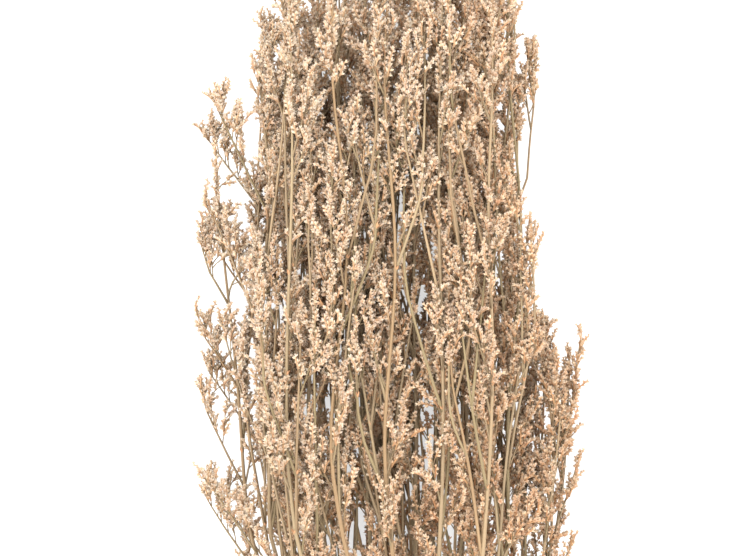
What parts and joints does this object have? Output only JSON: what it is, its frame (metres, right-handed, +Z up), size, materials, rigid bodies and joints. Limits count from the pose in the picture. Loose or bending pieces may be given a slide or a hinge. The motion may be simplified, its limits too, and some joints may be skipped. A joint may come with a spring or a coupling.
{
  "type": "bunch of dried statice",
  "caption": "Bunch of dried statice lying on its side: feathery sprays of tiny beige flowers on straw-coloured stems, held by a rubber band near their cut ends.",
  "frame": {"origin": "on the surface the bunch lies on, under the middle of its overall box", "axes": "+X across the bunch, +Y from the cut ends to the flower tips, +Z up from the surface"},
  "size_m": [0.2236, 0.7, 0.127],
  "materials": {
    "stem": "dry straw-coloured bark, matt",
    "floret": "dry papery petals, matt",
    "band": "satin natural rubber"
  },
  "bodies": {
    "root": {"stem_01": "stem", "flower_head_01": "floret", "stem_02": "stem", "flower_head_02": "floret", "stem_03": "stem", "flower_head_03": "floret", "stem_04": "stem", "flower_head_04": "floret", "stem_05": "stem", "flower_head_05": "floret", "stem_06": "stem", "flower_head_06": "floret", "stem_07": "stem", "flower_head_07": "floret", "stem_08": "stem", "flower_head_08": "floret", "stem_09": "stem", "flower_head_09": "floret", "stem_10": "stem", "flower_head_10": "floret", "stem_11": "stem", "flower_head_11": "floret", "stem_12": "stem", "flower_head_12": "floret", "stem_13": "stem", "flower_head_13": "floret", "stem_14": "stem", "flower_head_14": "floret", "stem_15": "stem", "flower_head_15": "floret", "stem_16": "stem", "flower_head_16": "floret", "stem_17": "stem", "flower_head_17": "floret", "stem_18": "stem", "flower_head_18": "floret", "stem_19": "stem", "flower_head_19": "floret", "stem_20": "stem", "flower_head_20": "floret", "stem_21": "stem", "flower_head_21": "floret", "stem_22": "stem", "flower_head_22": "floret", "stem_23": "stem", "flower_head_23": "floret", "stem_24": "stem", "flower_head_24": "floret", "stem_25": "stem", "flower_head_25": "floret", "stem_26": "stem", "flower_head_26": "floret", "stem_27": "stem", "flower_head_27": "floret", "stem_28": "stem", "flower_head_28": "floret", "stem_29": "stem", "flower_head_29": "floret", "rubber_band": "band"}
  },
  "joints": []
}
